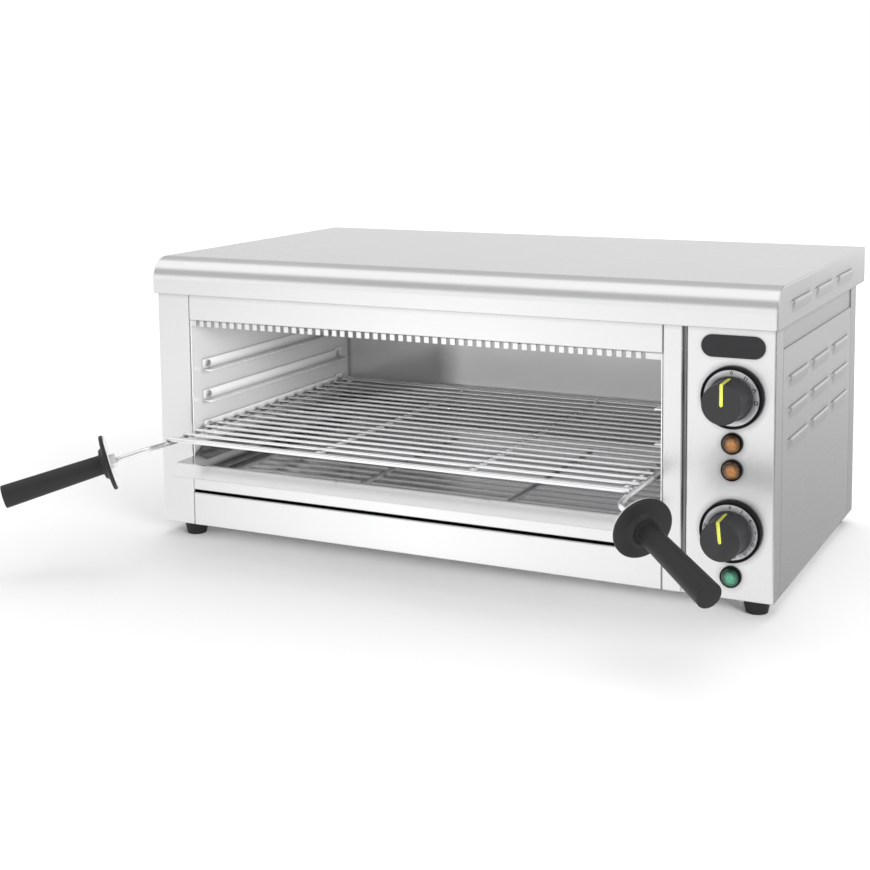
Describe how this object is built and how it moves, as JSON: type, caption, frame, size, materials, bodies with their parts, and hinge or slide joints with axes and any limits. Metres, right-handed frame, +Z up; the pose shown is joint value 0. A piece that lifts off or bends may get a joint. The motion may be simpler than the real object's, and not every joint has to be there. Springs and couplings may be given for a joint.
{
  "type": "salamander grill",
  "caption": "Countertop salamander grill: steel casing with an open cavity, sliding wire rack with two handles, drip tray and a control panel on the right.",
  "frame": {"origin": "middle of the top cover's plan, on the plane that the feet stand on", "axes": "+X to the right seen from the front, +Y to the back, +Z up"},
  "size_m": [0.6696, 0.5108, 0.272],
  "materials": {
    "stainless_brushed": "brushed",
    "stainless_bright": "polished",
    "galvanised": "satin",
    "element_sheath": "matte",
    "plated_steel": "satin",
    "chromed_wire": "polished",
    "black_plastic": "matte",
    "dial_face": "satin",
    "pointer_yellow": "gloss",
    "amber_lens": "gloss",
    "green_lens": "gloss",
    "switch_body": "matte",
    "ceramic_white": "matte",
    "fibre_blanket": "matte",
    "rubber_black": "matte"
  },
  "bodies": {
    "casing": {"top_cover": "stainless_brushed", "left_column": "stainless_brushed", "right_column": "stainless_brushed", "control_panel": "stainless_brushed", "left_side_panel": "stainless_brushed", "right_side_panel": "stainless_brushed", "left_frame_wall": "stainless_brushed", "right_frame_wall": "stainless_brushed", "back_panel": "galvanised", "base_pan": "galvanised", "lower_front_panel": "stainless_brushed", "front_fascia": "stainless_brushed", "cavity_floor": "stainless_brushed", "cavity_left_wall": "stainless_bright", "cavity_right_wall": "stainless_bright", "cavity_back_wall": "stainless_bright", "reflector": "stainless_bright", "insulation_blanket": "fibre_blanket", "heater_guard": "stainless_brushed", "front_heating_element": "element_sheath", "back_heating_element": "element_sheath", "element_brackets": "galvanised", "element_collars": "ceramic_white", "element_terminals": "plated_steel", "left_rack_rails": "stainless_brushed", "right_rack_rails": "stainless_brushed", "casing_screws": "plated_steel", "power_dial": "dial_face", "timer_dial": "dial_face", "power_switch": "switch_body", "timer": "switch_body", "amber_lamp_bezels": "black_plastic", "amber_lamp_lenses": "amber_lens", "green_lamp_bezel": "black_plastic", "green_lamp_lens": "green_lens", "lamp_barrels": "switch_body", "badge_plate": "black_plastic", "feet": "rubber_black", "foot_screws": "plated_steel", "cable_gland": "black_plastic", "gland_locknut": "black_plastic", "terminal_block": "switch_body"},
    "power_knob": {"power_knob": "black_plastic", "power_knob_pointer": "pointer_yellow", "power_shaft": "plated_steel"},
    "timer_knob": {"timer_knob": "black_plastic", "timer_knob_pointer": "pointer_yellow", "timer_shaft": "plated_steel"},
    "rack": {"rack_left_rod": "chromed_wire", "rack_right_rod": "chromed_wire", "rack_bearers": "chromed_wire", "rack_end_rods": "chromed_wire", "rack_wires": "chromed_wire", "left_handle_shield": "chromed_wire", "left_handle_grip": "black_plastic", "left_handle_nut": "plated_steel", "right_handle_shield": "chromed_wire", "right_handle_grip": "black_plastic", "right_handle_nut": "plated_steel"},
    "tray": {"drip_tray": "stainless_brushed"}
  },
  "joints": [
    {"name": "rack_slide", "type": "slide", "parent": "casing", "child": "rack", "axis": [0, -1, 0], "range_m": [-0.02, 0.3]},
    {"name": "tray_slide", "type": "slide", "parent": "casing", "child": "tray", "axis": [0, -1, 0], "range_m": [0, 0.32]},
    {"name": "power_knob_turn", "type": "hinge", "parent": "casing", "child": "power_knob", "pos_m": [0.2675, -0.19, 0.1808], "axis": [0, 1, 0], "range_deg": [0, 100]},
    {"name": "timer_knob_turn", "type": "hinge", "parent": "casing", "child": "timer_knob", "pos_m": [0.2675, -0.19, 0.0695], "axis": [0, 1, 0], "range_deg": [0, 300]}
  ]
}
